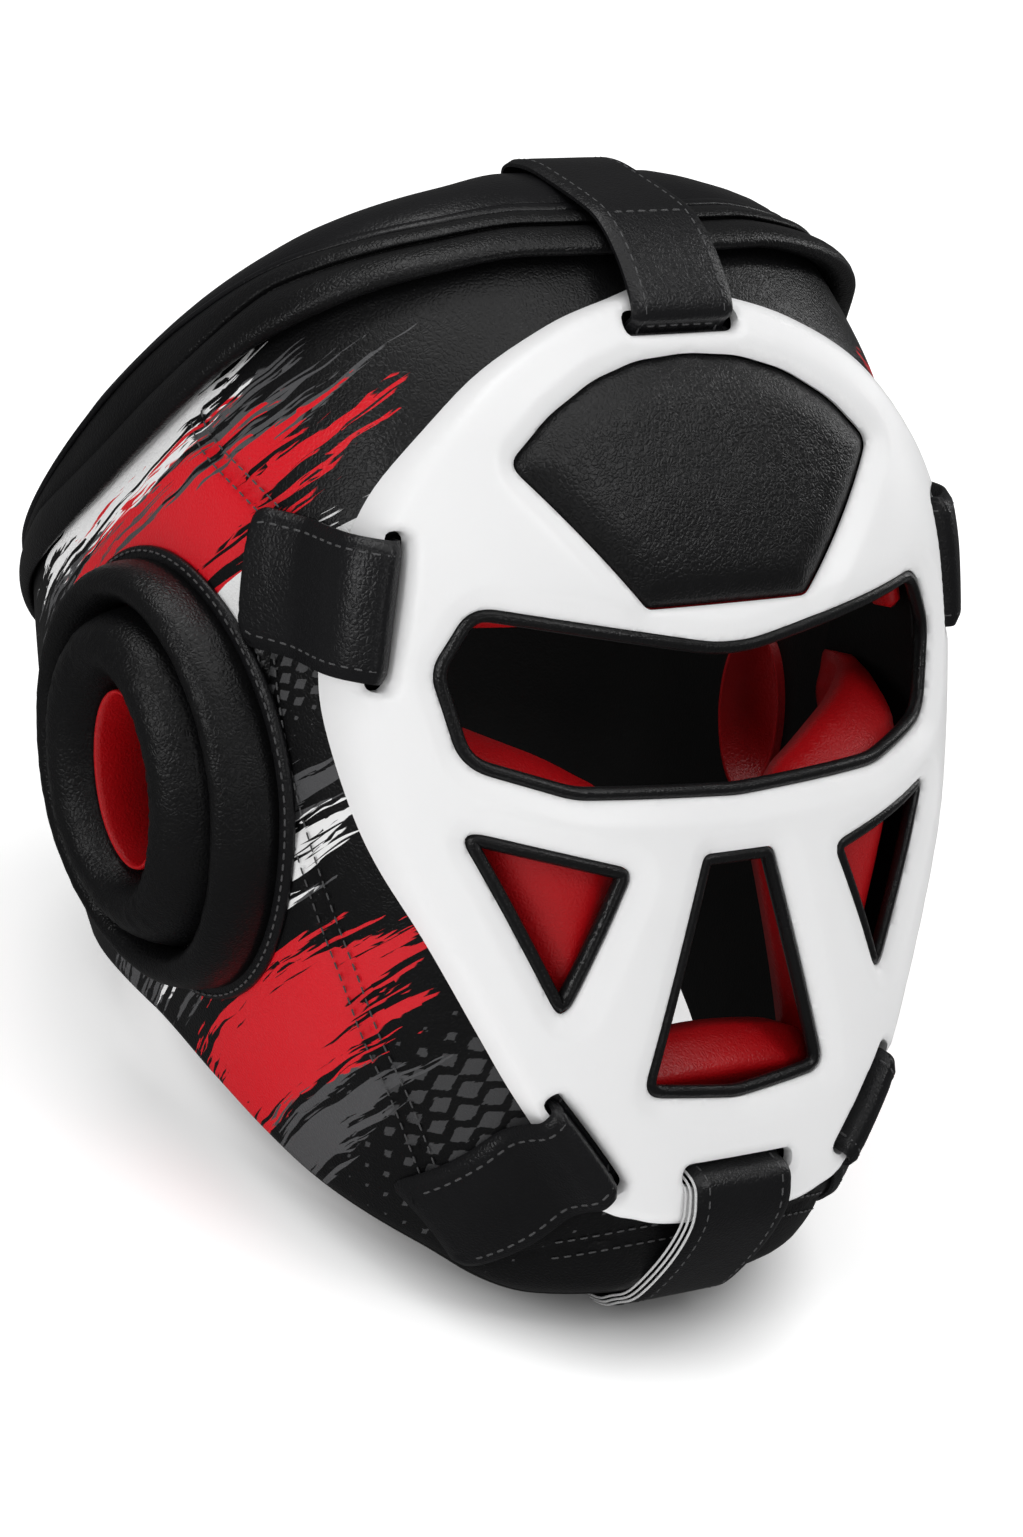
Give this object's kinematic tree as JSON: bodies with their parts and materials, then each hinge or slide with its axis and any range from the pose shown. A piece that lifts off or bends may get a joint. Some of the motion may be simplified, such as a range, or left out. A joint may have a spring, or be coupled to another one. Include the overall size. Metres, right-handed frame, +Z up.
{
  "type": "boxing head guard",
  "caption": "Padded leather boxing head guard with a clip-on face grill, ear pads and an open crown, leaning back on its chin strap and nape.",
  "frame": {"origin": "middle of the box that the guard fills, on the floor it rests on", "axes": "+X towards the wearer's left, -Y the way the face looks, +Z up"},
  "size_m": [0.2532, 0.2836, 0.2632],
  "materials": {
    "black_leather": "satin",
    "red_leather": "satin",
    "white_plastic": "satin",
    "black_edging": "satin"
  },
  "bodies": {
    "root": {"outer_shell": "black_leather", "crown_band": "black_leather", "crown_binding": "black_leather", "brow_panel": "black_leather", "face_grill": "white_plastic", "eye_trim": "black_edging", "mouth_trim": "black_edging", "cheek_trim_left": "black_edging", "cheek_trim_right": "black_edging", "brow_lining": "red_leather", "cheek_pad_left": "red_leather", "cheek_pad_right": "red_leather", "chin_pad": "red_leather", "ear_flange_left": "black_leather", "ear_flange_right": "black_leather", "ear_ring_left": "black_leather", "ear_ring_right": "black_leather", "ear_donut_left": "black_leather", "ear_donut_right": "black_leather", "ear_lining_left": "red_leather", "ear_lining_right": "red_leather", "top_strap": "black_leather", "chin_strap": "black_leather", "temple_strap_left": "black_leather", "temple_strap_right": "black_leather", "jaw_strap_left": "black_leather", "jaw_strap_right": "black_leather"}
  },
  "joints": []
}
